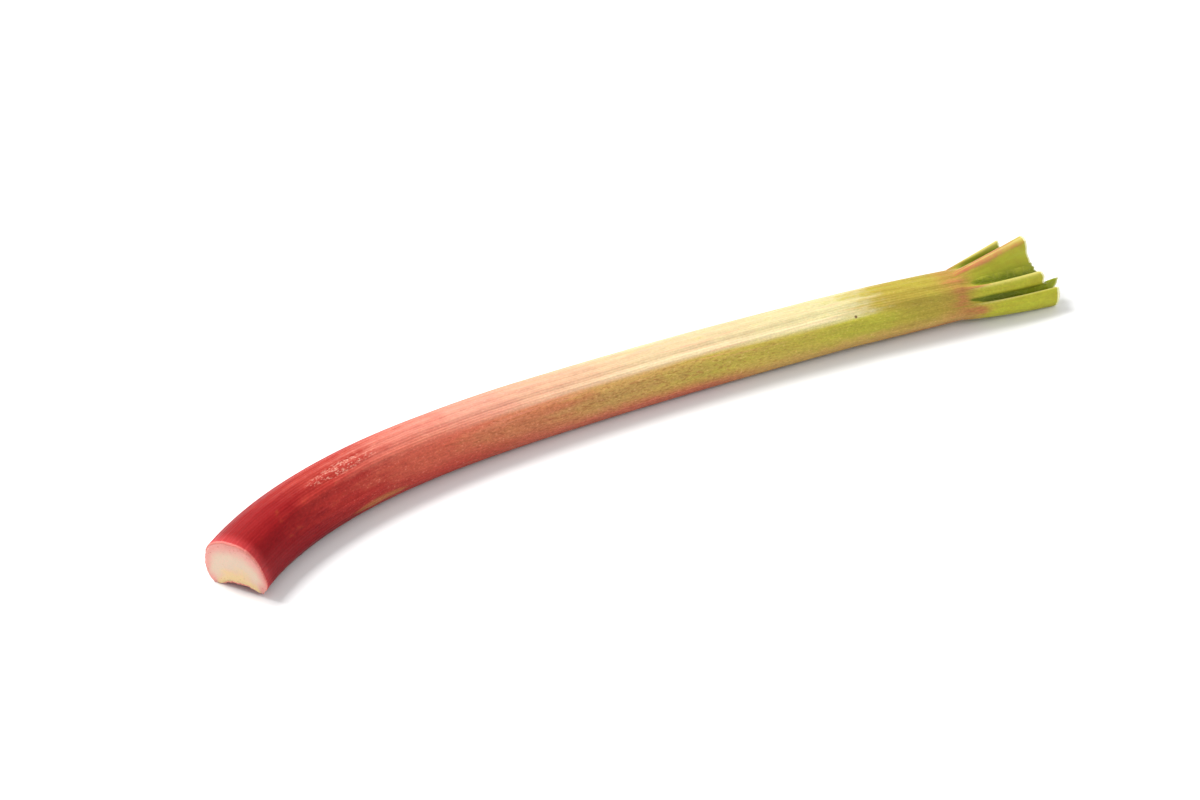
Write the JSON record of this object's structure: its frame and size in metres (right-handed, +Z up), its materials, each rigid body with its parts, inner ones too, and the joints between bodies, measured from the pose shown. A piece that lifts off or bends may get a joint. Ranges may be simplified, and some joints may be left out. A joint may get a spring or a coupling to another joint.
{
  "type": "rhubarb stalk",
  "caption": "Cut rhubarb stalk lying on its channelled side, crooked at its base, with ribs and leaf blade remains fanned at its head.",
  "frame": {"origin": "middle of the stalk's bounding box, on the surface it rests on", "axes": "+X from the cut base to the head, +Z up out of the surface, +Y to the outer side of the bow"},
  "size_m": [0.395, 0.0666, 0.0251],
  "materials": {
    "stalk_skin": "satin, moist plant skin, crimson at the base to yellow-green at the head",
    "cut_flesh": "damp cut flesh, cream and pink",
    "leaf_blade": "satin green leaf blade"
  },
  "bodies": {
    "root": {"rhubarb_stalk": "stalk_skin"}
  },
  "joints": []
}
